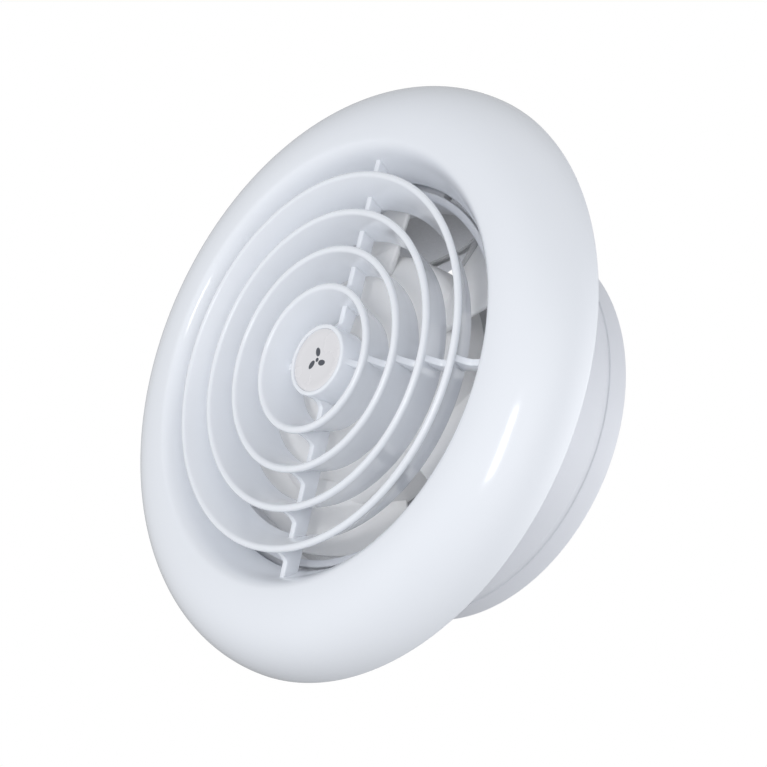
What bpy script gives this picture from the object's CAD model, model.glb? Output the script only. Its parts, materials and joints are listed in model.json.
"""Round wall fan: a front cover with ring grille and badge, a duct housing with a
spigot, a motor carrier, a six-blade wheel and two motor leads, over a pale floor.

The fan axis is Y. -Y is the room side (front), +Y goes into the wall (back), +Z is up,
and y = 0 is the wall plane. Sizes are in millimetres and angles in degrees about Y, from
+X towards +Z. Distances inside materials, the floor and the light are in metres.
Outlines of turned pieces are lists of (radius, y).
"""
import json
import math

import bmesh
import bpy
import numpy as np
from mathutils import Matrix, Vector


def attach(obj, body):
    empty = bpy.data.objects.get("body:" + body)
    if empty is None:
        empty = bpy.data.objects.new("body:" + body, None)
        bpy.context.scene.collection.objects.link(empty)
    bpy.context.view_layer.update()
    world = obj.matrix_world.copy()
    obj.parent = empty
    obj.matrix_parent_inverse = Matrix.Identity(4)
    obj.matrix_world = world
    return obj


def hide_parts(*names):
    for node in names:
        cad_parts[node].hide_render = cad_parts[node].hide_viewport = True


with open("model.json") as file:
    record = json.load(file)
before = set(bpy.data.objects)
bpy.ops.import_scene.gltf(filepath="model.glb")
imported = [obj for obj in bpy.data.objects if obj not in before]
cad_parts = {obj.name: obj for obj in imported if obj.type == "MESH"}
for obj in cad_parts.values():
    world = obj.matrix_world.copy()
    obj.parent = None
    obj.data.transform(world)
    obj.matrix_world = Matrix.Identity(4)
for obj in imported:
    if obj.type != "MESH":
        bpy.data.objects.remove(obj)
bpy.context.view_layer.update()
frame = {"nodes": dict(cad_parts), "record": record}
MM = 0.001

# ---- front cover: (radius, y) down the funnel, from the crest to the back lip
FUNNEL = [(67.9, -19.3), (65.3, -17.9), (62.4, -13.4), (60.0, -9.3), (58.7, -6.2)]
CREST_R, CREST_Y = FUNNEL[0]
RIM_R, WALL = 90.0, 2.0
# grille rings, outermost first: front lip radius and y, back edge radius and y
RINGS = [
    (56.1, -19.90, 49.8, -9.1), (44.4, -20.50, 40.2, -9.1),
    (33.0, -20.95, 29.5, -9.1), (21.5, -21.25, 17.5, -9.1),
]
LIP_T, BACK_T = 2.2, 1.5
BADGE_R, BADGE_T, BADGE_SINK = 9.4, 1.0, 0.25
BADGE_RECESS_R = BADGE_R + 0.1
CAP_R, CAP_Y, CAP_BACK_Y, CAP_WALL = 10.83, -20.0, -10.6, 1.6
CAP_FLOOR_T = 1.8
CAP_FACE_Y = CAP_Y + BADGE_SINK + BADGE_T
RIB_T, RIB_STEP_Y, RIB_BACK_Y, RIB_RUN = 2.0, -14.3, -9.5, 2.2
FUNNEL_STEP_R, FUNNEL_BACK_R = 63.7, 61.4   # where the outermost ribs end in the funnel wall
PEG_ANGLE, PEG_CENTRE_R, PEG_R = 13.0, 74.0, 2.6
PEG_ROOT_Y, PEG_TIP_Y = -17.2, -1.3

# ---- housing
SOCKET_R = PEG_R + 0.06
SOCKET_BOSS_R, SOCKET_TOP_Y = 5.2, -7.5
FLANGE_R, FLANGE_T, FLANGE_LIP_T, FLANGE_LIP_Y = 84.5, 2.5, 1.6, -4.6
SEAT_Y = -FLANGE_T + 0.5        # bosses reach this far into the flange
BLIND_Y = -0.8                  # bottom of the socket and foot holes
SPIGOT_R, SPIGOT_IN_R, SPIGOT_Y = 59.5, 57.3, 46.5
SHROUD_R, SHROUD_BACK_Y, COLLAR_W, COLLAR_Y = 55.0, 10.5, 2.4, -4.8
GROOVE_Y, GROOVE_W, GROOVE_D, GROOVE_SLOPE = 37.5, 2.0, 0.3, 0.3
MOUNT_CENTRE_R, MOUNT_HOLE_R, MOUNT_PAD_R, MOUNT_PAD_H = 74.0, 2.25, 6.0, 1.0
CLAMP_ANGLE, CLAMP_FEET, FOOT_R, FOOT_HOLE_R, FOOT_Y = 57.0, (68.0, 78.0), 2.7, 1.32, -5.0
ENTRY_ANGLE, ENTRY_SLOT_R, ENTRY_SLOT_W = 71.0, 67.5, 11.0
TERM_ANGLE, TERM_CENTRE_R, LID_HOLE_R, LID_HOLE_Z = 38.0, 72.0, 1.42, 16.0
CUT_Y0, CUT_Y1 = -6.0, 1.0      # cuts through the flange start and end here

# ---- motor carrier
STRUT_ANGLE, STRUT_T, STRUT_Y0, STRUT_Y1, STRUT_R = 66.0, 2.2, 11.2, 23.0, 58.3
LUG_H, LUG_Y0, LUG_Y1 = 0.45, STRUT_Y1 + 0.035, STRUT_Y1 + 1.25
CUP_R, CUP_WALL, CUP_Y0, CUP_Y1 = 36.0, 2.0, 11.4, 40.0
CUP_IN_R = CUP_R - CUP_WALL
CUP_CORNER_R, CUP_IN_CORNER_R = 4.0, 3.0
POST_X, POST_R, POST_HOLE_R, POST_Y = 26.5, 4.0, 1.52, 34.5
NOTCH_ANGLE, NOTCH_HALF_W, NOTCH_Y = 104.0, 3.4, 16.4
SLOT_R0, SLOT_R1, SLOT_HALF_W, SLOTS = 9.0, 20.0, 1.0, 12

# ---- fan wheel
HUB_R, HUB_WALL, HUB_BACK_Y = 38.5, 2.0, 9.8
# (radius, y) over the hub dome, from the axis to the side wall
DOME = [(0.0, -5.8), (10.0, -5.6), (20.0, -5.0), (29.0, -3.9), (34.6, -2.5), (37.4, -0.6),
        (HUB_R, 2.2)]
BLADES, SPAN_ANGLE, BLADE_ANGLE = 6, 36.0, 23.0     # BLADE_ANGLE: leading edge of the first
LEAD_EDGE_Y, TRAIL_EDGE_Y, BLADE_T = -3.6, 8.5, 1.9
CHORD_STEPS, NOSE_STEPS = 28, 5
ROOT_R, ROOT_FADE = 38.4, 0.9   # the root blend is full up to ROOT_R, then fades outwards
# blade sections: radius, thickness factor
BLADE_STATIONS = [(radius, 1.0) for radius in (
    31.5, 34.5, 36.5, 37.6, 38.2, 38.6, 39.0, 39.6, 40.4, 41.6, 43.5, 46.0, 48.5, 50.5, 52.0)]
BLADE_STATIONS += [(52.8, 0.94), (53.1, 0.74), (53.2, 0.45)]
BOSS_R, BOSS_Y0, BOSS_Y1, BORE_R, BORE_Y0, BORE_Y1 = 5.0, -4.6, 1.0, 2.01, -2.2, 5.0
# hub webs, side outline: (radius, y)
WEB = [(4.0, BOSS_Y0), (29.5, -3.1), (29.5, -1.6), (4.0, -1.6)]
WEB_T = 1.2

# ---- motor leads
LEAD_R, LEAD_OFF, CHANNEL_R, LEAD_Y = 0.6, 3.5, 57.5, 14.0
CHANNEL_HALF_W = 1.75
# run from the motor: x, z, and how much x and z change from lead a to lead b
LEAD_START = [(-7.9, 30.6, -0.4, 0.0), (-8.0, 34.4, -0.4, 0.0), (-5.6, 37.9, 0.0, 0.2),
              (-0.1, 40.3, 0.0, 0.1), (6.2, 42.3, 0.0, 0.1), (12.6, 44.4, 0.0, 0.3)]
# run out along the first strut: radius, sideways shift, y from the lead's own level
LEAD_OUT = [(51.4, 0.1, 0.0), (55.6, 0.0, 0.0), (57.7, 0.0, -0.7), (58.45, 0.0, -2.6)]
# run forward through the housing wall: radius, sideways shift, y
LEAD_FORWARD = [(58.45, 0.0, 6.0), (58.45, 0.0, 1.0), (58.6, 0.0, -1.6),
                (59.8, -0.1, -3.2), (61.6, -0.5, -3.7)]
# last run at the terminal block: radius, sideways shift, y
LEAD_END = [(64.2, 0.4, -5.7), (66.2, 0.0, -6.0), (70.4, 0.0, -6.0)]
# each lead: name, y above LEAD_Y, offset beside the strut, offset at the terminal, arc points
LEADS = [("motor_lead_a", 0.0, LEAD_OFF - 0.75, 5.5, 5),
         ("motor_lead_b", 1.5, LEAD_OFF + 0.75, -5.5, 7)]

# ---- badge: (radius, y behind the badge front) over the dished face and its raised border
BADGE_FACE = [(0, 0.16), (3.0, 0.16), (5.4, 0.16), (6.3, 0.145), (6.9, 0.09), (7.4, 0.03),
              (8.0, 0.0), (8.6, 0.01), (9.0, 0.07), (9.3, 0.16)]
BADGE_FRONT_Y = CAP_FACE_Y - BADGE_T
MARK_Y0, MARK_Y1 = BADGE_FRONT_Y + 0.135, BADGE_FRONT_Y + 0.22
DOT_R = 0.62


# ---------------------------------------------------------------- mesh tools
def link(ob):
    bpy.context.scene.collection.objects.link(ob)
    return ob


def tidy(ob, merge=1e-7):
    """Welds coincident points and turns every face outwards."""
    bm = bmesh.new()
    bm.from_mesh(ob.data)
    bmesh.ops.remove_doubles(bm, verts=bm.verts, dist=merge)
    bmesh.ops.dissolve_degenerate(bm, edges=bm.edges, dist=merge)
    bmesh.ops.recalc_face_normals(bm, faces=bm.faces)
    if bm.calc_volume(signed=True) < 0:
        bmesh.ops.reverse_faces(bm, faces=bm.faces)
    bm.to_mesh(ob.data)
    bm.free()
    ob.data.update()
    return ob


def solid(name, verts, faces):
    """Tidied object from points in millimetres."""
    mesh = bpy.data.meshes.new(name)
    points = [tuple(v) for v in np.asarray(verts, float) * MM]
    mesh.from_pydata(points, [], [tuple(f) for f in faces])
    mesh.update()
    return tidy(link(bpy.data.objects.new(name, mesh)))


def drop_loose(ob):
    """Removes edges and points that belong to no face."""
    bm = bmesh.new()
    bm.from_mesh(ob.data)
    bmesh.ops.delete(bm, geom=[e for e in bm.edges if not e.link_faces], context="EDGES")
    bmesh.ops.delete(bm, geom=[v for v in bm.verts if not v.link_faces], context="VERTS")
    bm.to_mesh(ob.data)
    bm.free()
    ob.data.update()


def smooth(ob, sharp_angle):
    ob.data.shade_smooth()
    ob.data.set_sharp_from_angle(angle=math.radians(sharp_angle))
    return ob


def bake(ob):
    """Applies the object's modifiers to its mesh."""
    depsgraph = bpy.context.evaluated_depsgraph_get()
    mesh = bpy.data.meshes.new_from_object(ob.evaluated_get(depsgraph), depsgraph=depsgraph)
    old = ob.data
    ob.modifiers.clear()
    ob.data = mesh
    mesh.name = ob.name
    bpy.data.meshes.remove(old)


def bevel_edges(ob, width, segments):
    bevel = ob.modifiers.new("Bevel", "BEVEL")
    bevel.width = width * MM
    bevel.segments = segments
    bevel.limit_method = "ANGLE"
    bevel.angle_limit = math.radians(30.0)
    bevel.use_clamp_overlap = True
    bake(ob)


def apply_boolean(ob, other, operation, solver):
    boolean = ob.modifiers.new("Boolean", "BOOLEAN")
    boolean.object = other
    boolean.operation = operation
    boolean.solver = solver
    bake(ob)


def combine(ob, others, operation="UNION"):
    """Boolean of ob with each of the others, which are used up."""
    for other in others:
        faces_before = len(ob.data.polygons)
        before = ob.data.copy()
        apply_boolean(ob, other, operation, "MANIFOLD")
        # the fast solver can lose most of a mesh: start again with the exact one
        if len(ob.data.polygons) < 0.2 * faces_before:
            failed = ob.data
            ob.data = before
            bpy.data.meshes.remove(failed)
            apply_boolean(ob, other, operation, "EXACT")
        else:
            bpy.data.meshes.remove(before)
        bpy.data.objects.remove(other)
    return tidy(ob)


def turned(ob, degrees):
    """Turns the mesh about the fan axis; a positive angle takes +X towards +Z."""
    ob.data.transform(Matrix.Rotation(math.radians(-degrees), 4, "Y"))
    return ob


# ------------------------------------------------------------- outline tools
def unit(vector):
    vector = np.asarray(vector, float)
    return vector / np.hypot(*vector)


def clamped_spline(points, start, end, count):
    """Cubic spline through points, chord-length spaced, with the given end directions."""
    knots = np.asarray(points, float)
    gaps = np.hypot(*np.diff(knots, axis=0).T)
    along = np.r_[0, np.cumsum(gaps)]
    size = len(knots)
    system = np.zeros((size, size))
    target = np.zeros((size, 2))
    system[0, 0] = system[-1, -1] = 1
    target[0], target[-1] = unit(start), unit(end)
    for i in range(1, size - 1):
        before, after = gaps[i - 1], gaps[i]
        system[i, i - 1:i + 2] = after, 2 * (before + after), before
        target[i] = 3 * (after * (knots[i] - knots[i - 1]) / before
                         + before * (knots[i + 1] - knots[i]) / after)
    slopes = np.linalg.solve(system, target)
    out = []
    for place in np.linspace(0, along[-1], count + 1):
        i = min(max(int(np.searchsorted(along, place)) - 1, 0), size - 2)
        u = (place - along[i]) / gaps[i]
        # Hermite weights of the two knots and of their slopes
        knot_a, slope_a = (1 + 2 * u) * (1 - u) ** 2, u * (1 - u) ** 2
        knot_b, slope_b = u * u * (3 - 2 * u), u * u * (u - 1)
        out.append(tuple(knot_a * knots[i] + slope_a * gaps[i] * slopes[i]
                         + knot_b * knots[i + 1] + slope_b * gaps[i] * slopes[i + 1]))
    return out


def offset_side(points, distance):
    """Line moved to its left; distance is one number or one per point."""
    last = len(points) - 1
    distances = np.broadcast_to(distance, last + 1)
    out = []
    for i, (x, y) in enumerate(points):
        before, after = points[max(i - 1, 0)], points[min(i + 1, last)]
        run, rise = after[0] - before[0], after[1] - before[1]
        length = math.hypot(run, rise)
        out.append((x - rise / length * distances[i], y + run / length * distances[i]))
    return out


def arc(centre, radius, angle_0, angle_1, steps):
    angles = [math.radians(angle_0 + (angle_1 - angle_0) * i / steps) for i in range(steps + 1)]
    return [(centre[0] + radius * math.cos(a), centre[1] + radius * math.sin(a)) for a in angles]


def round_end(start, centre, bulge, steps):
    """Points between start and its opposite across centre, pushed out by the vector bulge."""
    centre = np.array(centre)
    arm = np.array(start) - centre
    return [tuple(centre + arm * math.cos(math.pi * i / steps)
                  + bulge * math.sin(math.pi * i / steps)) for i in range(1, steps)]


def round_corners(corners, steps):
    """Closed outline from corners of (x, y, corner radius)."""
    out = []
    count = len(corners)
    for i, (x, y, radius) in enumerate(corners):
        if radius <= 0:
            out.append((x, y))
            continue
        corner = np.array((x, y), float)
        back = np.array(corners[i - 1][:2], float) - corner
        ahead = np.array(corners[(i + 1) % count][:2], float) - corner
        back_length, ahead_length = np.hypot(*back), np.hypot(*ahead)
        back, ahead = back / back_length, ahead / ahead_length
        angle = math.acos(float(back @ ahead))
        reach = min(radius / math.tan(angle / 2), 0.45 * back_length, 0.45 * ahead_length)
        start, end = corner + back * reach, corner + ahead * reach
        for k in range(steps + 1):
            s = k / steps
            out.append(tuple((1 - s) ** 2 * start + 2 * s * (1 - s) * corner + s * s * end))
    return out


# -------------------------------------------------------------- basic solids
def revolve(name, outline, segments):
    """Closed surface of revolution about Y from a closed outline of (radius, y)."""
    points = []
    for point in outline:
        if not points or math.dist(point, points[-1]) > 1e-5:
            points.append(point)
    if math.dist(points[0], points[-1]) < 1e-5:
        points.pop()
    verts, rings = [], []
    angles = np.linspace(0, 2 * np.pi, segments, endpoint=False)
    cosines, sines = np.cos(angles), np.sin(angles)
    for radius, y in points:
        if radius < 1e-6:
            rings.append([len(verts)] * segments)
            verts.append((0, y, 0))
        else:
            rings.append(list(range(len(verts), len(verts) + segments)))
            verts.extend(zip(radius * cosines, [y] * segments, radius * sines))
    faces = []
    for i, ring in enumerate(rings):
        following = rings[(i + 1) % len(rings)]
        is_tip, next_is_tip = ring[0] == ring[1], following[0] == following[1]
        if is_tip and next_is_tip:
            continue
        for k in range(segments):
            l = (k + 1) % segments
            if is_tip:
                faces.append((ring[0], following[l], following[k]))
            elif next_is_tip:
                faces.append((ring[k], ring[l], following[0]))
            else:
                faces.append((ring[k], ring[l], following[l], following[k]))
    return solid(name, verts, faces)


def prism(outline, z0, z1, bevel=0.0, segments=0):
    """Outline in the X-Y plane, pushed along Z, with rounded edges if asked."""
    n = len(outline)
    verts = [(x, y, z0) for x, y in outline] + [(x, y, z1) for x, y in outline]
    faces = [tuple(range(n)), tuple(range(2 * n - 1, n - 1, -1))]
    faces += [(i, (i + 1) % n, n + (i + 1) % n, n + i) for i in range(n)]
    ob = solid("prism", verts, faces)
    if bevel > 0:
        bevel_edges(ob, bevel, segments)
    return ob


def block(x0, x1, y0, y1, z0, z1, bevel=0.0, segments=0):
    return prism([(x0, y0), (x1, y0), (x1, y1), (x0, y1)], z0, z1, bevel, segments)


def ring_skin(count, ring_size):
    """Faces between successive rings of points."""
    faces = []
    for j in range(count - 1):
        for k in range(ring_size):
            l = (k + 1) % ring_size
            near, far = j * ring_size, (j + 1) * ring_size
            faces.append((near + k, near + l, far + l, far + k))
    return faces


def rod(radius, y0, y1, x=0.0, z=0.0, segments=48, chamfer=0.0, name="rod"):
    """Round rod along Y, with chamfered ends if asked."""
    rings = [(radius, y0), (radius, y1)]
    if chamfer > 0:
        rings = [(radius - chamfer, y0), (radius, y0 + chamfer),
                 (radius, y1 - chamfer), (radius - chamfer, y1)]
    verts = []
    for ring_radius, y in rings:
        for k in range(segments):
            angle = 2 * math.pi * k / segments
            verts.append((x + ring_radius * math.cos(angle), y,
                          z + ring_radius * math.sin(angle)))
    last = (len(rings) - 1) * segments
    faces = [tuple(range(segments)), tuple(reversed(range(last, last + segments)))]
    return solid(name, verts, faces + ring_skin(len(rings), segments))


# --------------------------------------------------------------- front cover
def bezel_outline():
    """Closed outline of the shell: rim, domed outside, funnel, back lip and inside."""
    def quarter_ellipse(width, height, steps):
        angles = [math.pi / 2 * i / steps for i in range(steps + 1)]
        points = [(CREST_R + width * math.cos(a), -height * math.sin(a)) for a in angles]
        return [p for p in points if p[1] < -0.6]

    outer = quarter_ellipse(RIM_R - CREST_R, -CREST_Y, 40)
    inner = quarter_ellipse(RIM_R - CREST_R - WALL, -CREST_Y - WALL, 30)
    funnel = clamped_spline(FUNNEL, (-1, 0), (-0.28, 1), 36)
    funnel_back = offset_side(funnel, -WALL)
    funnel_back[0] = (CREST_R, CREST_Y + WALL)
    middle = (np.array(funnel[-1]) + np.array(funnel_back[-1])) / 2
    lip = round_end(funnel[-1], middle, np.array([-0.27, 0.96]) * 0.9, 8)
    in_r = RIM_R - WALL
    rim = [(RIM_R, -0.3), (RIM_R - 0.06, -0.08), (RIM_R - 0.3, 0.0),
           (in_r + 0.3, 0.0), (in_r + 0.06, -0.08), (in_r, -0.3)]
    return ([rim[0]] + outer + funnel[1:] + lip + funnel_back[::-1][:-1]
            + inner[::-1] + rim[::-1][:-1])


def ring_centre(index, steps):
    """Curved centre line of a grille ring's section, from front lip to back edge."""
    lip_r, lip_y, back_r, back_y = RINGS[index]
    control_r = back_r + 0.42 * (lip_r - back_r)
    control_y = lip_y + 0.42 * (back_y - lip_y)
    out = []
    for i in range(steps + 1):
        t = i / steps
        out.append(((1 - t) ** 2 * lip_r + 2 * t * (1 - t) * control_r + t * t * back_r,
                    (1 - t) ** 2 * lip_y + 2 * t * (1 - t) * control_y + t * t * back_y))
    return out


def ring_radius(index, y):
    """Radius of a grille ring's centre line at depth y."""
    points = ring_centre(index, 60)
    for (radius_a, y_a), (radius_b, y_b) in zip(points, points[1:]):
        if y_a <= y <= y_b:
            return radius_a + (y - y_a) / (y_b - y_a) * (radius_b - radius_a)


def ring_outline(index):
    centre = ring_centre(index, 30)
    steps = len(centre) - 1
    half = [0.5 * (LIP_T + (BACK_T - LIP_T) * min(1.0, i / steps * 1.4))
            for i in range(steps + 1)]
    side_a = offset_side(centre, half)
    side_b = offset_side(centre, [-h for h in half])
    points = np.array(centre)
    back = unit(points[-1] - points[-2]) * half[-1]
    front = unit(points[0] - points[1]) * half[0]
    return (side_a + round_end(side_a[-1], centre[-1], back, 8)
            + side_b[::-1] + round_end(side_b[0], centre[0], front, 12))


def cap_outline():
    """Centre cap: recess for the badge, rounded rim, side wall, hollow back."""
    in_r = CAP_R - CAP_WALL
    return [
        (0, CAP_FACE_Y), (BADGE_RECESS_R - 0.2, CAP_FACE_Y), (BADGE_RECESS_R, CAP_FACE_Y - 0.1),
        (BADGE_RECESS_R, CAP_Y + 0.35), (BADGE_RECESS_R + 0.05, CAP_Y + 0.15),
        (BADGE_RECESS_R + 0.25, CAP_Y + 0.03), (BADGE_RECESS_R + 0.5, CAP_Y),
        (CAP_R - 0.5, CAP_Y + 0.05), (CAP_R - 0.22, CAP_Y + 0.16),
        (CAP_R - 0.06, CAP_Y + 0.38), (CAP_R, CAP_Y + 0.75),
        (CAP_R, CAP_BACK_Y - 0.3), (CAP_R - 0.3, CAP_BACK_Y),
        (in_r + 0.3, CAP_BACK_Y), (in_r, CAP_BACK_Y - 0.3),
        (in_r, CAP_FACE_Y + CAP_FLOOR_T + 0.4), (in_r - 0.4, CAP_FACE_Y + CAP_FLOOR_T),
        (0, CAP_FACE_Y + CAP_FLOOR_T)]


def rib_outline(inner):
    """Rib from ring number inner, or the cap if there is none, to the next ring outwards."""
    if inner == len(RINGS):
        root_r = CAP_R
        front, back = (CAP_R - 0.8, CAP_Y + 1.6), (CAP_R - 0.8, RIB_BACK_Y - 1.2)
    else:
        front_y = RINGS[inner][1] + 0.9
        root_r = ring_radius(inner, front_y) + 1.05
        front = (ring_radius(inner, front_y), front_y)
        back = (ring_radius(inner, RIB_BACK_Y), RIB_BACK_Y)
    if inner > 0:
        step_r = ring_radius(inner - 1, RIB_STEP_Y)
        end_r = ring_radius(inner - 1, RIB_BACK_Y)
    else:
        step_r, end_r = FUNNEL_STEP_R, FUNNEL_BACK_R
    start, end = (root_r, front[1]), (root_r + RIB_RUN, RIB_STEP_Y)
    steps = 8
    hollow = [(start[0] + (end[0] - start[0]) * (i / steps) ** 1.6,
               start[1] + (end[1] - start[1]) * (1 - (1 - i / steps) ** 1.5))
              for i in range(steps + 1)]
    return [front] + hollow + [(step_r, RIB_STEP_Y), (end_r, RIB_BACK_Y), back]


def build_cover():
    cover = revolve("grille_cover", bezel_outline(), 288)
    parts = [revolve("ring", ring_outline(k), 256) for k in range(len(RINGS))]
    parts.append(revolve("cap", cap_outline(), 128))
    for quarter in range(4):
        for inner in range(len(RINGS), -1, -1):
            rib = prism(rib_outline(inner), -RIB_T / 2, RIB_T / 2, bevel=0.28, segments=2)
            parts.append(turned(rib, 90 * quarter))
    for quarter in range(4):
        peg = rod(PEG_R, PEG_ROOT_Y, PEG_TIP_Y, x=PEG_CENTRE_R, segments=40, chamfer=0.6)
        parts.append(turned(peg, PEG_ANGLE + 90 * quarter))
    return smooth(combine(cover, parts), 30)


# ----------------------------------------------------------------- fan wheel
def camber(s):
    """Y of the blade's middle line; s runs 0 to 1 from leading to trailing edge."""
    return LEAD_EDGE_Y + (TRAIL_EDGE_Y - LEAD_EDGE_Y) * (0.68 * s + 0.32 * s * s)


def blade_section(radius, thickness_factor):
    """Closed loop of points round the blade at one radius, wrapped about the axis."""
    half_span = math.radians(SPAN_ANGLE / 2)
    root_growth = 1.0 + 1.1 * math.exp(-max(0.0, radius - ROOT_R) / ROOT_FADE)
    middle, half = [], []
    for i in range(CHORD_STEPS + 1):
        s = i / CHORD_STEPS
        middle.append((radius * (-half_span + 2 * half_span * s), camber(s)))
        body = 0.5 * BLADE_T * (0.45 + 0.55 * math.sin(math.pi * (0.18 + 0.80 * s)) ** 0.6)
        growth = root_growth if 0.04 < s < 0.96 else 1.0 + 0.5 * (root_growth - 1)
        half.append(body * growth * thickness_factor)
    side_a = offset_side(middle, half)
    side_b = offset_side(middle, [-h for h in half])

    def nose(end, neighbour):
        outwards = unit(np.array(middle[end]) - np.array(middle[neighbour]))
        return round_end(side_a[end], middle[end], outwards * half[end], NOSE_STEPS)

    last = CHORD_STEPS
    loop = side_a + nose(last, last - 1) + side_b[::-1] + nose(0, 1)[::-1]
    return [(radius * math.cos(run / radius), y, radius * math.sin(run / radius))
            for run, y in loop]


def blade_end(base):
    """Faces that close a blade section whose points start at index base."""
    side, nose = CHORD_STEPS + 1, NOSE_STEPS - 1
    side_a = list(range(base, base + side))
    trailing = list(range(base + side, base + side + nose))
    side_b = list(range(base + side + nose, base + 2 * side + nose))[::-1]
    leading = list(range(base + 2 * side + nose, base + 2 * (side + nose)))
    faces = [(side_a[i], side_a[i + 1], side_b[i + 1], side_b[i]) for i in range(CHORD_STEPS)]
    faces.append(tuple([side_a[-1]] + trailing + [side_b[-1]]))
    faces.append(tuple([side_b[0]] + leading + [side_a[0]]))
    return faces


def build_blade(centre_angle):
    loops = [blade_section(*station) for station in BLADE_STATIONS]
    ring_size = len(loops[0])
    faces = ring_skin(len(loops), ring_size) + blade_end(0)
    faces += [tuple(reversed(face)) for face in blade_end((len(loops) - 1) * ring_size)]
    return turned(solid("blade", [p for loop in loops for p in loop], faces), centre_angle)


def build_impeller():
    dome = clamped_spline(DOME, (1, 0), (0, 1), 44)
    in_r = HUB_R - HUB_WALL
    inner = offset_side(clamped_spline(DOME, (1, 0), (0, 1), 30), HUB_WALL)
    inner[0] = (0.0, DOME[0][1] + HUB_WALL)
    inner[-1] = (in_r, DOME[-1][1])
    back = [(HUB_R, HUB_BACK_Y - 0.35), (HUB_R - 0.35, HUB_BACK_Y),
            (in_r + 0.35, HUB_BACK_Y), (in_r, HUB_BACK_Y - 0.35)]
    hub = revolve("fan_wheel", dome + back + inner[::-1], 240)
    pitch = 360 // BLADES
    parts = []
    for i in range(BLADES):
        # cut off what would stand inside the hollow hub
        blade = build_blade(BLADE_ANGLE + SPAN_ANGLE / 2 + pitch * i)
        cavity = revolve("cavity", inner + [(in_r, 30.0), (0, 30.0)], 240)
        parts.append(combine(blade, [cavity], "DIFFERENCE"))
    parts.append(rod(BOSS_R, BOSS_Y0, BOSS_Y1, segments=64, chamfer=0.3))
    for i in range(BLADES):
        web = prism(WEB, -WEB_T / 2, WEB_T / 2, bevel=0.15, segments=2)
        parts.append(turned(web, pitch / 2 + pitch * i))
    combine(hub, parts)
    combine(hub, [rod(BORE_R, BORE_Y0, BORE_Y1)], "DIFFERENCE")
    drop_loose(hub)
    return smooth(hub, 34)


# ------------------------------------------------------------------- housing
def duct_outline():
    """Shroud, collar, flange and spigot in one section."""
    lip_in_r, groove_r = FLANGE_R - FLANGE_LIP_T, SPIGOT_R - GROOVE_D
    # radius, y, corner radius
    corners = [
        (SHROUD_R, SHROUD_BACK_Y, 0), (SHROUD_R, COLLAR_Y, 1.3),
        (SHROUD_R + COLLAR_W, COLLAR_Y, 0.4), (SHROUD_R + COLLAR_W, -FLANGE_T, 0.5),
        (lip_in_r, -FLANGE_T, 0.4), (lip_in_r, FLANGE_LIP_Y, 0.3),
        (FLANGE_R, FLANGE_LIP_Y, 0.3), (FLANGE_R, 0, 0.35),
        (SPIGOT_R, 0, 0), (SPIGOT_R, GROOVE_Y, 0.15),
        (groove_r, GROOVE_Y + GROOVE_SLOPE, 0.1),
        (groove_r, GROOVE_Y + GROOVE_W - GROOVE_SLOPE, 0.1),
        (SPIGOT_R, GROOVE_Y + GROOVE_W, 0.15), (SPIGOT_R, SPIGOT_Y, 0.6),
        (SPIGOT_IN_R, SPIGOT_Y, 0.4), (SPIGOT_IN_R, 14.5, 0.5)]
    outline = round_corners(corners, 4)
    # extra rings along the long straight walls keep the surface even
    dense = []
    for i, point in enumerate(outline):
        start, end = np.array(point), np.array(outline[(i + 1) % len(outline)])
        dense.append(tuple(start))
        extra = int(np.hypot(*(end - start)) // 6.0)
        for k in range(1, extra + 1):
            dense.append(tuple(start + (end - start) * (k / (extra + 1))))
    return dense


def strut_groove(angle):
    """Groove for a carrier arm, open at the back, with a snap lug behind the arm."""
    half_width = 0.5 * STRUT_T + 0.02
    in_r, deep_r, front_y, back_y = 50.0, STRUT_R + 0.05, STRUT_Y0 - 0.02, SPIGOT_Y + 1
    lug_r = deep_r - LUG_H
    outline = [(in_r, front_y), (deep_r, front_y), (deep_r, LUG_Y0), (lug_r, LUG_Y0),
               (lug_r, LUG_Y1), (deep_r, LUG_Y1), (deep_r, back_y), (in_r, back_y)]
    return turned(prism(outline, -half_width, half_width), angle)


def lead_cuts():
    """Round window, relief and channel for the leads, beside the first groove."""
    window = rod(2.0, 55.5, 61.5, segments=40)
    window.data.transform(Matrix.Rotation(math.radians(-90), 4, "Z"))
    window.data.transform(Matrix.Translation((0, 14.6 * MM, LEAD_OFF * MM)))
    relief = block(56.9, 58.0, 11.6, 14.6, LEAD_OFF - 1.7, LEAD_OFF + 1.7)
    channel = block(CHANNEL_R, SPIGOT_R + 0.6, CUT_Y0, 13.6,
                    LEAD_OFF - CHANNEL_HALF_W, LEAD_OFF + CHANNEL_HALF_W)
    return [turned(cut, STRUT_ANGLE) for cut in (window, relief, channel)]


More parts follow.
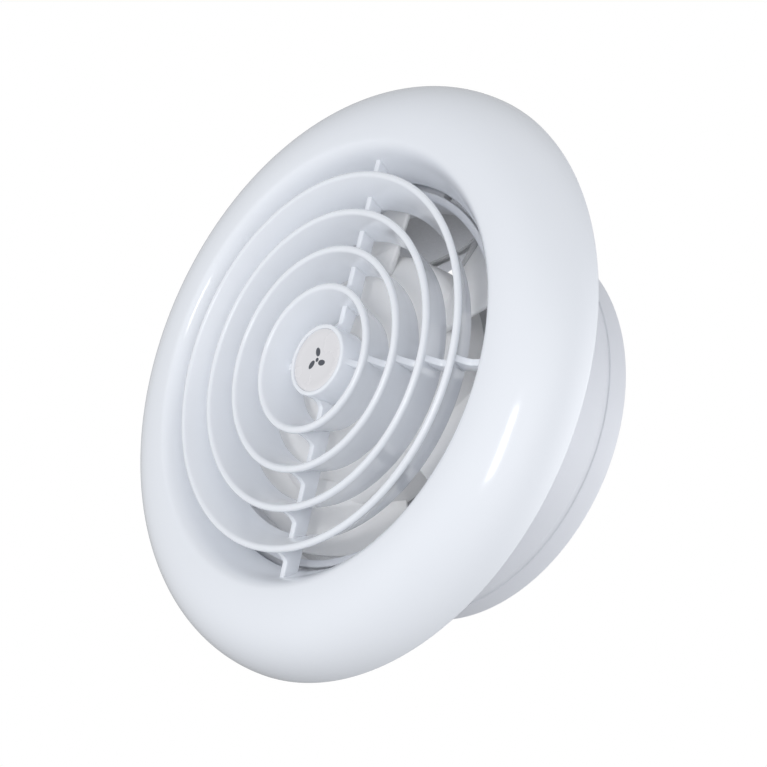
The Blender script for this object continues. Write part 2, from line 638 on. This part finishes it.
def build_housing():
    duct = revolve("fan_housing", duct_outline(), 288)
    adds, cuts = [], []
    for i in range(4):
        boss = rod(SOCKET_BOSS_R, SOCKET_TOP_Y, SEAT_Y, x=PEG_CENTRE_R, chamfer=0.3)
        adds.append(turned(boss, PEG_ANGLE + 90 * i))
        pad = rod(MOUNT_PAD_R, -FLANGE_T - MOUNT_PAD_H, SEAT_Y, x=MOUNT_CENTRE_R, chamfer=0.2)
        adds.append(turned(pad, 90 * i))
    for x in CLAMP_FEET:
        foot = rod(FOOT_R, FOOT_Y, SEAT_Y, x=x, segments=36, chamfer=0.2)
        adds.append(turned(foot, CLAMP_ANGLE))
    combine(duct, adds)
    for i in range(4):
        socket = rod(SOCKET_R, SOCKET_TOP_Y - 1, BLIND_Y, x=PEG_CENTRE_R, segments=40)
        cuts.append(turned(socket, PEG_ANGLE + 90 * i))
        hole = rod(MOUNT_HOLE_R, CUT_Y0, CUT_Y1, x=MOUNT_CENTRE_R, segments=40)
        cuts.append(turned(hole, 90 * i))
    for x in CLAMP_FEET:
        cuts.append(turned(rod(FOOT_HOLE_R, CUT_Y0, BLIND_Y, x=x, segments=32), CLAMP_ANGLE))
    entry = block(ENTRY_SLOT_R, FLANGE_R + 2, CUT_Y0, CUT_Y1,
                  -ENTRY_SLOT_W / 2, ENTRY_SLOT_W / 2)
    cuts.append(turned(entry, ENTRY_ANGLE))
    lid_hole = rod(LID_HOLE_R, CUT_Y0, -0.5, x=TERM_CENTRE_R, z=LID_HOLE_Z, segments=32)
    cuts.append(turned(lid_hole, TERM_ANGLE))
    cuts += [strut_groove(STRUT_ANGLE + 120 * i) for i in range(3)]
    cuts += lead_cuts()
    return smooth(combine(duct, cuts, "DIFFERENCE"), 32)


# ------------------------------------------------------------- motor carrier
def floor_slot(angle):
    """Radial slot through the cup floor."""
    outline = (arc((SLOT_R0, 0), SLOT_HALF_W, 90, 270, 12)
               + arc((SLOT_R1, 0), SLOT_HALF_W, -90, 90, 12))
    slot = prism(outline, -1.0, 3.0)
    # drawn in X-Y: turned so that it cuts along Y
    slot.data.transform(Matrix.Rotation(math.radians(-90), 4, "X"))
    slot.data.transform(Matrix.Translation((0, (CUP_Y1 - CUP_WALL) * MM, 0)))
    return turned(slot, angle)


def build_carrier():
    """Motor cup, open at the front, with three arms and the two posts for the motor."""
    floor_y = CUP_Y1 - CUP_WALL
    outer_centre = (CUP_R - CUP_CORNER_R, CUP_Y1 - CUP_CORNER_R)
    inner_centre = (CUP_IN_R - CUP_IN_CORNER_R, floor_y - CUP_IN_CORNER_R)
    outline = [(0, CUP_Y1)] + arc(outer_centre, CUP_CORNER_R, 90, 0, 10)
    outline += [(CUP_R, CUP_Y0 + 0.3), (CUP_R - 0.3, CUP_Y0),
                (CUP_IN_R + 0.3, CUP_Y0), (CUP_IN_R, CUP_Y0 + 0.3)]
    outline += arc(inner_centre, CUP_IN_CORNER_R, 0, 90, 8) + [(0, floor_y)]
    cup = revolve("fan_carrier", outline, 200)
    adds = []
    for i in range(3):
        strut = block(CUP_R - 0.9, STRUT_R, STRUT_Y0, STRUT_Y1, -STRUT_T / 2, STRUT_T / 2,
                      bevel=0.85, segments=4)
        adds.append(turned(strut, STRUT_ANGLE + 120 * i))
    for x in (POST_X, -POST_X):
        adds.append(rod(POST_R, POST_Y, floor_y + 0.5, x=x, segments=36, chamfer=0.2))
    combine(cup, adds)
    cuts = [rod(POST_HOLE_R, 30, floor_y - 0.2, x=x, segments=32) for x in (POST_X, -POST_X)]
    notch = block(32, 38, CUP_Y0 - 1, NOTCH_Y, -NOTCH_HALF_W, NOTCH_HALF_W,
                  bevel=0.5, segments=3)
    cuts.append(turned(notch, NOTCH_ANGLE))
    pitch = 360 // SLOTS
    cuts += [floor_slot(pitch / 2 + pitch * i) for i in range(SLOTS)]
    return smooth(combine(cup, cuts, "DIFFERENCE"), 32)


# --------------------------------------------------------------- motor leads
def polar(angle, radius, offset, y):
    """Point at a radius along the direction angle, moved sideways by offset."""
    cosine, sine = math.cos(math.radians(angle)), math.sin(math.radians(angle))
    return Vector((radius * cosine - offset * sine, y, radius * sine + offset * cosine))


def filleted(points, bend=3.0, steps=7):
    """Path with its corners rounded to the bend radius, or less where runs are short."""
    out = [points[0]]
    for before, corner, after in zip(points, points[1:], points[2:]):
        back, ahead = (before - corner).normalized(), (after - corner).normalized()
        angle = back.angle(ahead)
        if angle > math.radians(178.5):
            out.append(corner)
            continue
        reach = min(bend / math.tan(angle / 2), 0.46 * (before - corner).length,
                    0.46 * (after - corner).length)
        radius = reach * math.tan(angle / 2)
        centre = corner + (back + ahead).normalized() * (radius / math.sin(angle / 2))
        arm_a, arm_b = corner + back * reach - centre, corner + ahead * reach - centre
        sweep = arm_a.angle(arm_b)
        for k in range(steps + 1):
            t = k / steps
            out.append(centre + (arm_a * math.sin((1 - t) * sweep)
                                 + arm_b * math.sin(t * sweep)) / math.sin(sweep))
    out.append(points[-1])
    return out


def tube(name, path, radius, segments=20):
    """Round tube along a path, closed at both ends, with no twist."""
    points = [path[0]]
    for point in path[1:]:
        if (point - points[-1]).length > 0.02:
            points.append(point)
    count = len(points)
    tangents = [(points[min(i + 1, count - 1)] - points[max(i - 1, 0)]).normalized()
                for i in range(count)]
    normal = tangents[0].orthogonal().normalized()
    verts = []
    for i, tangent in enumerate(tangents):
        if i:
            normal = tangents[i - 1].rotation_difference(tangent) @ normal
            normal = (normal - tangent * normal.dot(tangent)).normalized()
        side = tangent.cross(normal)
        for k in range(segments):
            angle = 2 * math.pi * k / segments
            across = normal * math.cos(angle) + side * math.sin(angle)
            verts.append(points[i] + across * radius)
    faces = ring_skin(count, segments)
    faces.append(tuple(range(segments)))
    faces.append(tuple(reversed(range((count - 1) * segments, count * segments))))
    return solid(name, verts, faces)


def lead_path(index, rise, offset, end_offset, arc_points):
    y = LEAD_Y + rise
    path = [Vector((x + dx * index, y, z + dz * index)) for x, z, dx, dz in LEAD_START]
    path += [polar(STRUT_ANGLE, radius, offset + shift, y + dy)
             for radius, shift, dy in LEAD_OUT]
    path += [polar(STRUT_ANGLE, radius, offset + shift, forward_y)
             for radius, shift, forward_y in LEAD_FORWARD]
    # round the front of the housing to the terminal block
    start = STRUT_ANGLE + math.degrees(math.atan2(offset, 62.0)) - 4.0
    end = TERM_ANGLE + math.degrees(math.atan2(end_offset, 63.0)) + 3.5
    arc_r, arc_y = 62.7 + 0.15 * index, -4.0 - 1.45 * index
    for i in range(arc_points):
        angle = start + (end - start) * i / (arc_points - 1)
        path.append(polar(angle, arc_r, 0, arc_y if i else arc_y + 0.3))
    path += [polar(TERM_ANGLE, radius, end_offset + shift, end_y)
             for radius, shift, end_y in LEAD_END]
    return filleted(path)


def build_leads():
    return [smooth(tube(name, lead_path(index, *route), LEAD_R), 50)
            for index, (name, *route) in enumerate(LEADS)]


# --------------------------------------------------------------------- badge
def build_badge_disc():
    edge = BADGE_R + 0.07
    outline = [(radius, BADGE_FRONT_Y + dip) for radius, dip in BADGE_FACE]
    outline += [(edge, BADGE_FRONT_Y + 0.30), (edge, CAP_FACE_Y - 0.15),
                (edge - 0.15, CAP_FACE_Y - 0.01), (0, CAP_FACE_Y - 0.01)]
    return smooth(revolve("badge_disc", outline, 128), 40)


def build_mark_lobe(index):
    """One swept lobe of the three-blade symbol, a thin raised film."""
    count = 24
    lobe = []
    for k in range(count):
        angle = 2 * math.pi * k / count
        x = 2.35 + 1.35 * math.cos(angle)
        lobe.append((x, 0.95 * math.sin(angle) + 0.22 * max(x - 1.0, 0.0) ** 1.25))
    verts = [(x, MARK_Y1, z) for x, z in lobe] + [(x, MARK_Y0, z) for x, z in lobe]
    faces = [tuple(range(count)), tuple(reversed(range(count, 2 * count)))]
    faces += ring_skin(2, count)
    return turned(solid("mark_lobe_%d" % index, verts, faces), 90 + 120 * index)


def build_marks():
    marks = [build_mark_lobe(i) for i in range(3)]
    return marks + [rod(DOT_R, MARK_Y0, MARK_Y1, segments=40, name="mark_dot")]


# ----------------------------------------------------------------- materials
class NodeGraph:
    """Adds shader nodes; an input is given a socket to link to or a plain value."""

    def __init__(self, owner, coords="Object", clear=True):
        owner.use_nodes = True
        self.tree = owner.node_tree
        if clear:
            self.tree.nodes.clear()
        self.coords = self.add("TexCoord").outputs[coords]

    def feed(self, socket, value):
        if isinstance(value, bpy.types.NodeSocket):
            self.tree.links.new(value, socket)
        elif socket.type == "RGBA":
            socket.default_value = (*value, 1.0)
        else:
            socket.default_value = value

    def add(self, kind, inputs=None, **settings):
        node = self.tree.nodes.new("ShaderNode" + kind)
        for name, value in settings.items():
            setattr(node, name, value)
        for key, value in (inputs or {}).items():
            self.feed(node.inputs[key], value)
        return node

    def remap(self, value, span, to, **settings):
        node = self.add("MapRange", {
            "Value": value, "From Min": span[0], "From Max": span[1],
            "To Min": to[0], "To Max": to[1]}, **settings)
        return node.outputs["Result"]

    def mix(self, factor, colour_a, colour_b, blend="MIX"):
        node = self.add("Mix", {0: factor, 6: colour_a, 7: colour_b},
                        data_type="RGBA", blend_type=blend)
        return node.outputs[2]

    def math(self, operation, *values):
        return self.add("Math", dict(enumerate(values)), operation=operation).outputs[0]

    def noise(self, scale, detail, roughness, coords=None):
        node = self.add("TexNoise", {"Scale": scale, "Detail": detail,
                                     "Roughness": roughness, "Vector": coords or self.coords})
        return node.outputs["Fac"]

    def patches(self, scale, detail, roughness, span, to, coords=None):
        """Noise stretched from span to a range of values."""
        return self.remap(self.noise(scale, detail, roughness, coords), span, to)

    def occlusion(self, distance, samples, span, strength):
        """Strength in tight corners, falling to nothing on open surfaces."""
        node = self.add("AmbientOcclusion", {"Distance": distance}, samples=samples)
        return self.remap(node.outputs["AO"], span=span, to=(strength, 0.0))

    def bump(self, strength, distance, height, normal=None):
        inputs = {"Strength": strength, "Distance": distance, "Height": height}
        if normal is not None:
            inputs["Normal"] = normal
        return self.add("Bump", inputs).outputs[0]

    def axis(self, name):
        return self.add("SeparateXYZ", {0: self.coords}).outputs[name]


def scaled(colour, factor):
    return tuple(c * factor for c in colour)


def body_colour(graph, base, tint, speck, brushed):
    """Slow colour drift, with fine specks and brushed streaks if asked."""
    drift = graph.patches(scale=22.0, detail=3.0, roughness=0.55, span=(0.3, 0.7), to=(0.0, 1.0))
    light = tuple(min(1.0, c) for c in scaled(base, 1 + tint))
    colour = graph.mix(drift, scaled(base, 1 - 1.6 * tint), light)
    if speck > 0:
        specks = graph.patches(scale=2600.0, detail=2.0, roughness=0.5,
                               span=(0.62, 0.75), to=(0.0, speck))
        colour = graph.mix(specks, colour, scaled(base, 0.72))
    if brushed is not None:
        stretched = graph.add("Mapping", {"Scale": brushed, "Vector": graph.coords}).outputs[0]
        streaks = graph.patches(scale=60.0, detail=5.0, roughness=0.7, span=(0.3, 0.7),
                                to=(0.0, 0.5), coords=stretched)
        colour = graph.mix(streaks, colour, scaled(base, 0.80))
    return colour


def add_dust(graph, colour, roughness, amount, dust_colour):
    """Dust in the corners, which is also rougher."""
    corners = graph.occlusion(distance=0.006, samples=4, span=(0.15, 0.75), strength=amount)
    dust = graph.math("MULTIPLY", corners, graph.patches(
        scale=420.0, detail=4.0, roughness=0.7, span=(0.3, 0.65), to=(0.3, 1.0)))
    roughness = graph.math("ADD", roughness, graph.math("MULTIPLY", dust, 0.3))
    return graph.mix(dust, colour, dust_colour), roughness


def add_blade_film(graph, colour, amount):
    """Light film of dust thrown out along the blades, none on the hub."""
    separate = graph.add("SeparateXYZ", {0: graph.coords})
    x, z = separate.outputs["X"], separate.outputs["Z"]
    squares = graph.math("ADD", graph.math("MULTIPLY", x, x), graph.math("MULTIPLY", z, z))
    radius = graph.math("SQRT", squares)
    film = graph.math(
        "MULTIPLY", graph.remap(radius, span=(HUB_R * MM, 0.0445), to=(0.0, amount)),
        graph.patches(scale=180.0, detail=4.0, roughness=0.6, span=(0.3, 0.65), to=(0.85, 1.0)))
    return graph.mix(film, colour, (0.56, 0.56, 0.565))


def add_deep_film(graph, colour, amount):
    """Grey film on surfaces deep inside, such as the bore of the duct."""
    film = graph.occlusion(distance=0.05, samples=6, span=(0.18, 0.62), strength=amount)
    film = graph.math("MULTIPLY", film, graph.patches(
        scale=60.0, detail=3.0, roughness=0.6, span=(0.3, 0.65), to=(0.85, 1.0)))
    depth = graph.remap(graph.axis("Y"), span=(0.005, 0.015), to=(0.12, 1.0))
    return graph.mix(graph.math("MULTIPLY", film, depth), colour, (0.18, 0.178, 0.18))


def add_edge_wear(graph, colour, base, bevel_normal, amount):
    """Lighter edges, found where the softened normal leaves the true one."""
    true_normal = graph.add("NewGeometry").outputs["Normal"]
    agreement = graph.add("VectorMath", {0: bevel_normal, 1: true_normal},
                          operation="DOT_PRODUCT").outputs["Value"]
    edge = graph.remap(agreement, span=(0.80, 0.995), to=(amount, 0.0))
    edge = graph.math("MULTIPLY", edge, graph.patches(
        scale=700.0, detail=4.0, roughness=0.6, span=(0.35, 0.6), to=(0.2, 1.0)))
    return graph.mix(edge, colour, tuple(min(1.0, c * 1.25 + 0.04) for c in base))


def finish_material(name, base, rough=0.35, rough_var=0.06, spec=0.5, metal=0.0, coat=0.0,
                    sss=0.0, tint=0.02, speck=0.0, brushed=None, bump=0.012,
                    bump_scale=900.0, fold=1.0, bevel=0.0003, wear=0.0, dust=0.0,
                    dust_col=(0.60, 0.57, 0.52), deep=0.0, tips=0.0):
    """Procedural finish.

    tint, speck and brushed vary the colour; bump is the surface grain and fold the broad
    unevenness relative to it; bevel is the radius of the softened edges; wear lightens
    edges; dust, deep and tips lay dust in corners, deep inside and along the blades.
    """
    mat = bpy.data.materials.new(name)
    graph = NodeGraph(mat)
    colour = body_colour(graph, base, tint, speck, brushed)
    roughness = graph.patches(
        scale=140.0, detail=4.0, roughness=0.6, span=(0.3, 0.7),
        to=(max(0.02, rough - rough_var), min(1.0, rough + rough_var)))
    if dust > 0:
        colour, roughness = add_dust(graph, colour, roughness, dust, dust_col)
    if tips > 0:
        colour = add_blade_film(graph, colour, tips)
    if deep > 0:
        colour = add_deep_film(graph, colour, deep)
    normal = None
    if bevel > 0:
        normal = graph.add("Bevel", {"Radius": bevel}, samples=4).outputs[0]
    if wear > 0:
        colour = add_edge_wear(graph, colour, base, normal, wear)
    grain = graph.bump(strength=bump, distance=0.0004, normal=normal,
                       height=graph.noise(scale=bump_scale, detail=3.0, roughness=0.55))
    folds = graph.bump(strength=min(0.4, bump * fold), distance=0.0012, normal=grain,
                       height=graph.noise(scale=75.0, detail=2.0, roughness=0.4))
    inputs = {"Base Color": colour, "Roughness": roughness, "Normal": folds,
              "Metallic": metal, "Specular IOR Level": spec,
              "Coat Weight": coat, "Coat Roughness": 0.08}
    if sss > 0:
        inputs.update({"Subsurface Weight": sss, "Subsurface Radius": (1.0, 0.9, 0.85),
                       "Subsurface Scale": 0.0012})
    shader = graph.add("BsdfPrincipled", inputs)
    graph.add("OutputMaterial", {0: shader.outputs[0]})
    return mat


def add_ridges(mat, direction, wave_inputs, strength, distance, line_strength=0.0):
    """Fine parallel ridges over a finish, darkened along the lines if asked."""
    shader = next(n for n in mat.node_tree.nodes if n.type == "BSDF_PRINCIPLED")
    graph = NodeGraph(mat, clear=False)
    wave = graph.add("TexWave", {"Vector": graph.coords, **wave_inputs},
                     bands_direction=direction)
    colour, normal = shader.inputs["Base Color"], shader.inputs["Normal"]
    if line_strength > 0:
        plain = colour.links[0].from_socket
        graph.feed(colour, graph.mix(line_strength, plain, wave.outputs["Color"], "MULTIPLY"))
    graph.feed(normal, graph.bump(strength=strength, distance=distance,
                                  height=wave.outputs["Fac"],
                                  normal=normal.links[0].from_socket))


FINISHES = {
    "cover_white": dict(
        base=(0.892, 0.917, 0.960), rough=0.15, tint=0.006, bump=0.010, bump_scale=1400.0,
        rough_var=0.025, bevel=0.00025, coat=0.25, dust=0.025, dust_col=(0.70, 0.70, 0.72),
        fold=1.5),
    "badge_white": dict(
        base=(0.815, 0.805, 0.818), rough=0.24, tint=0.01, bump=0.03, bump_scale=2200.0,
        bevel=0.0001),
    "badge_mark": dict(
        base=(0.090, 0.098, 0.115), rough=0.45, spec=0.4, tint=0.06, bump=0.05,
        bump_scale=2600.0, bevel=0.00005),
    "housing_white": dict(
        base=(0.825, 0.842, 0.888), rough=0.34, spec=0.45, tint=0.012, bump=0.05,
        bump_scale=1500.0, bevel=0.0004, dust=0.16, fold=0.6, deep=0.85),
    "carrier_grey": dict(
        base=(0.50, 0.505, 0.515), rough=0.5, spec=0.35, bump=0.07, bump_scale=1400.0,
        rough_var=0.08, dust=0.15),
    "impeller_cream": dict(
        base=(0.940, 0.938, 0.935), rough=0.42, spec=0.4, tint=0.010, bump=0.05,
        bump_scale=1300.0, rough_var=0.08, dust=0.04, fold=0.6, tips=0.22),
    "insulator_grey": dict(base=(0.42, 0.43, 0.44), rough=0.5, tint=0.04, bump=0.08, dust=0.2),
    "terminal_cream": dict(base=(0.70, 0.66, 0.56), rough=0.48, tint=0.03, bump=0.10, dust=0.2),
    "nylon_natural": dict(
        base=(0.74, 0.71, 0.62), rough=0.38, tint=0.03, bump=0.05, sss=0.1, dust=0.1),
    "lead_pvc": dict(
        base=(0.62, 0.63, 0.64), rough=0.33, tint=0.03, bump=0.04, bump_scale=2200.0, bevel=0.0),
    "rubber_black": dict(
        base=(0.025, 0.025, 0.027), rough=0.72, spec=0.3, tint=0.15, speck=0.3, bump=0.20,
        dust=0.35),
    "brass": dict(
        base=(0.72, 0.52, 0.20), rough=0.28, metal=1.0, tint=0.06, bump=0.04, rough_var=0.10,
        brushed=(1, 14, 1), wear=0.5),
    "sintered_bronze": dict(
        base=(0.46, 0.30, 0.16), rough=0.52, metal=1.0, tint=0.10, speck=0.7, bump=0.25,
        bump_scale=3200.0, rough_var=0.12),
    "copper_enamel": dict(
        base=(0.62, 0.24, 0.08), rough=0.28, metal=0.75, tint=0.10, bump=0.02, rough_var=0.08,
        coat=0.5),
    "copper_bare": dict(
        base=(0.78, 0.36, 0.20), rough=0.30, metal=1.0, tint=0.10, bump=0.04, rough_var=0.12,
        wear=0.4),
    "lamination": dict(
        base=(0.30, 0.31, 0.33), rough=0.42, metal=0.85, tint=0.05, bump=0.03, rough_var=0.12,
        wear=0.4),
    "zinc_sheet": dict(
        base=(0.60, 0.62, 0.64), rough=0.36, metal=1.0, tint=0.08, bump=0.05, bump_scale=500.0,
        rough_var=0.14, wear=0.3, brushed=(9, 1, 9)),
    "zinc_steel": dict(
        base=(0.62, 0.63, 0.66), rough=0.26, metal=1.0, tint=0.06, bump=0.05, rough_var=0.12,
        wear=0.5),
    "spring_steel": dict(
        base=(0.38, 0.38, 0.40), rough=0.30, metal=1.0, tint=0.08, bump=0.04, rough_var=0.10,
        wear=0.6),
    "ground_steel": dict(
        base=(0.66, 0.67, 0.68), rough=0.17, metal=1.0, tint=0.03, bump=0.04,
        brushed=(2, 40, 2)),
    "cast_aluminium": dict(
        base=(0.55, 0.56, 0.57), rough=0.55, metal=1.0, tint=0.10, speck=0.4, bump=0.22,
        bump_scale=1600.0, rough_var=0.15),
    "felt": dict(
        base=(0.50, 0.45, 0.36), rough=0.95, spec=0.1, tint=0.12, speck=0.6, bump=0.5,
        bump_scale=2600.0, rough_var=0.04, bevel=0.0),
}
MATERIALS = {name: finish_material(name, **finish) for name, finish in FINISHES.items()}
# stacked steel sheets, and enamelled wire laid in rows
add_ridges(MATERIALS["lamination"], "Y", {"Scale": 320.0, "Distortion": 0.6, "Detail": 2.0},
           strength=0.35, distance=0.0002, line_strength=0.55)
add_ridges(MATERIALS["copper_enamel"], "DIAGONAL", {"Scale": 520.0, "Distortion": 1.5},
           strength=0.6, distance=0.0003)

# ------------------------------------------------------------ build and dress
RECORD = frame["record"]
BODY_OF = {node: body for body, nodes in RECORD["behaviour"]["bodies"].items()
           for node in nodes}
SLOT_OF = {entry["node"]: entry["material_slot"] for entry in RECORD.get("subparts", [])
           if isinstance(entry, dict) and "material_slot" in entry}
# finish of the pieces kept as they are, where the record names none
DEFAULT_SLOT = {
    "terminal_block": "terminal_cream", "terminal_inserts": "brass",
    "terminal_screws": "zinc_steel", "terminal_cover": "insulator_grey",
    "terminal_cover_screw": "zinc_steel", "cable_clamp": "insulator_grey",
    "cable_clamp_screws": "zinc_steel", "cable_grommet": "rubber_black",
    "front_bush": "sintered_bronze", "rear_bush": "sintered_bronze", "oil_felts": "felt",
    "bearing_retainers": "spring_steel", "front_bracket": "zinc_sheet",
    "rear_bracket": "zinc_sheet", "stator_core": "lamination", "rotor_core": "lamination",
    "rotor_end_rings": "cast_aluminium", "thrust_washers": "nylon_natural",
    "shading_rings": "copper_bare", "coil_bobbins": "nylon_natural",
    "coil_windings": "copper_enamel", "motor_screws": "zinc_steel",
    "motor_dampers": "rubber_black", "impeller_clip": "spring_steel",
    "motor_shaft": "ground_steel",
}


def set_material(ob, name):
    ob.data.materials.clear()
    ob.data.materials.append(MATERIALS[name])


def dress(ob, slot, node, material=None, replaces=True):
    """Gives a built object its finish and ties it to the CAD node it belongs to."""
    set_material(ob, material or slot)
    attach(ob, BODY_OF[node])
    if replaces:
        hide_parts(node)


for node, cad_piece in frame["nodes"].items():
    slot = SLOT_OF.get(node) or DEFAULT_SLOT.get(node)
    if slot in MATERIALS:
        set_material(cad_piece, slot)

dress(build_cover(), "cover_white", "front_cover")
dress(build_badge_disc(), "badge_white", "centre_badge")
for mark in build_marks():
    dress(mark, "badge_white", "centre_badge", material="badge_mark", replaces=False)
dress(build_housing(), "housing_white", "duct_housing")
dress(build_carrier(), "carrier_grey", "motor_carrier")
dress(build_impeller(), "impeller_cream", "impeller")
for lead in build_leads():
    dress(lead, "lead_pvc", "motor_leads")

# --------------------------------------------------------------------- floor
FLOOR_Y, FLOOR_Z = 12.0, -90.6
FLOOR_RADIUS = 1.6              # metres


def floor_material():
    """Pale and faintly glowing; fades out with distance and is clear from underneath."""
    mat = bpy.data.materials.new("floor_pale")
    graph = NodeGraph(mat)
    noise = graph.add("TexNoise", {"Scale": 30.0, "Vector": graph.coords}).outputs["Fac"]
    colour = graph.mix(noise, (0.86, 0.86, 0.87), (0.90, 0.90, 0.905))
    surface = graph.add("BsdfPrincipled", {
        "Base Color": colour, "Specular IOR Level": 0.2,
        "Roughness": graph.remap(noise, span=(0.3, 0.7), to=(0.55, 0.68)),
        "Emission Color": colour, "Emission Strength": 0.42})
    distance = graph.add("VectorMath", {0: graph.coords}, operation="LENGTH").outputs["Value"]
    fade = graph.remap(distance, span=(0.12, 0.75), to=(0.0, 1.0),
                       interpolation_type="SMOOTHSTEP")
    underneath = graph.add("NewGeometry").outputs["Backfacing"]
    clear = graph.add("BsdfTransparent")
    mixed = graph.add("MixShader", {0: graph.math("MAXIMUM", fade, underneath),
                                    1: surface.outputs[0], 2: clear.outputs[0]})
    graph.add("OutputMaterial", {0: mixed.outputs[0]})
    return mat


def build_floor():
    bm = bmesh.new()
    bmesh.ops.create_circle(bm, cap_ends=True, radius=FLOOR_RADIUS, segments=96)
    mesh = bpy.data.meshes.new("floor")
    bm.to_mesh(mesh)
    bm.free()
    floor = link(bpy.data.objects.new("floor", mesh))
    floor.location = (0.0, FLOOR_Y * MM, FLOOR_Z * MM)
    mesh.materials.append(floor_material())
    # the floor takes no light away from the fan
    floor.visible_diffuse = False
    floor.visible_glossy = False
    floor.visible_transmission = False
    floor.visible_shadow = False


build_floor()

# --------------------------------------------------------------------- light
# a large studio of soft light made of broad lobes: direction, strength
LOBES = [
    ((-1, -1, -1), 0.80), ((-1, -1, 1), 0.33), ((-1, 0, 0), 0.54), ((-1, 1, -1), 0.24),
    ((-1, 1, 1), 0.46), ((0, -1, 0), 1.08), ((0, 0, -1), 0.38), ((0, 0, 1), 0.70),
    ((0, 1, 0), 0.84), ((1, -1, -1), 0.58), ((1, -1, 0), 1.26), ((1, 1, 0), 2.46),
]
LOBE_SHARPNESS = 6.0


def build_world():
    """White to the camera, lobes of soft light to everything else."""
    world = bpy.data.worlds.new("studio")
    bpy.context.scene.world = world
    graph = NodeGraph(world, coords="Generated")
    total = 0.0
    for direction, strength in LOBES:
        facing = graph.add("VectorMath", {0: graph.coords, 1: Vector(direction).normalized()},
                           operation="DOT_PRODUCT").outputs["Value"]
        lobe = graph.math("POWER", graph.math("MAXIMUM", facing, 0.0), LOBE_SHARPNESS)
        total = graph.math("MULTIPLY_ADD", lobe, strength, total)
    seen = graph.add("Background", {0: (1.0, 1.0, 1.0), 1: 1.0})
    lighting = graph.add("Background", {0: (0.970, 0.984, 1.010), 1: total})
    is_camera = graph.add("LightPath").outputs["Is Camera Ray"]
    mixed = graph.add("MixShader", {0: is_camera, 1: lighting.outputs[0], 2: seen.outputs[0]})
    graph.add("OutputWorld", {0: mixed.outputs[0]})


def build_strip_light(azimuth, elevation, distance, width, height, power):
    """Soft light aimed at the origin; azimuth 0 is on the -Y side, 90 on the +X side."""
    azimuth, elevation = math.radians(azimuth), math.radians(elevation)
    direction = Vector((math.sin(azimuth) * math.cos(elevation),
                        -math.cos(azimuth) * math.cos(elevation), math.sin(elevation)))
    light = bpy.data.lights.new("strip", "AREA")
    light.shape = "RECTANGLE"
    light.size = width
    light.size_y = height
    light.energy = power
    ob = link(bpy.data.objects.new("strip", light))
    ob.location = direction * distance
    ob.rotation_mode = "QUATERNION"
    ob.rotation_quaternion = (-direction).to_track_quat("-Z", "Y")


build_world()
build_strip_light(azimuth=25, elevation=-8, distance=1.30, width=0.17, height=0.42, power=2.0)

# -------------------------------------------------------------------- camera
# rotation vector (radians) from the fan's axes to the view's: x right, y down, z ahead
VIEW_TURN = (1.1808854747522275, 0.7092720901208346, -0.5321845756488625)
# a point on the fan axis, and where it lies in the view's axes
VIEW_POINT_Y = -21.6316102316
VIEW_OFFSET = (-20.4274806269, -7.3883446128, 900.0)
LENS = 147.94434047


def build_camera():
    data = bpy.data.cameras.new("camera")
    camera = link(bpy.data.objects.new("camera", data))
    axis = Vector(VIEW_TURN).normalized()
    view = np.array(Matrix.Rotation(math.hypot(*VIEW_TURN), 3, axis))
    place = -view.T @ np.array(VIEW_OFFSET) + np.array([0, VIEW_POINT_Y, 0])
    # the camera object's own y points up and its z backwards
    axes = view.T * np.array([1, -1, -1])
    rows = [(*row, shift) for row, shift in zip(axes, place * MM)]
    camera.matrix_world = Matrix(rows + [(0, 0, 0, 1)])
    data.sensor_width = 36.0
    data.lens = LENS
    data.clip_start = 0.02
    data.clip_end = 20.0
    bpy.context.scene.camera = camera


build_camera()
view_settings = bpy.context.scene.view_settings
view_settings.view_transform = "Standard"
view_settings.look = "None"
view_settings.exposure = 0.0
view_settings.gamma = 1.0
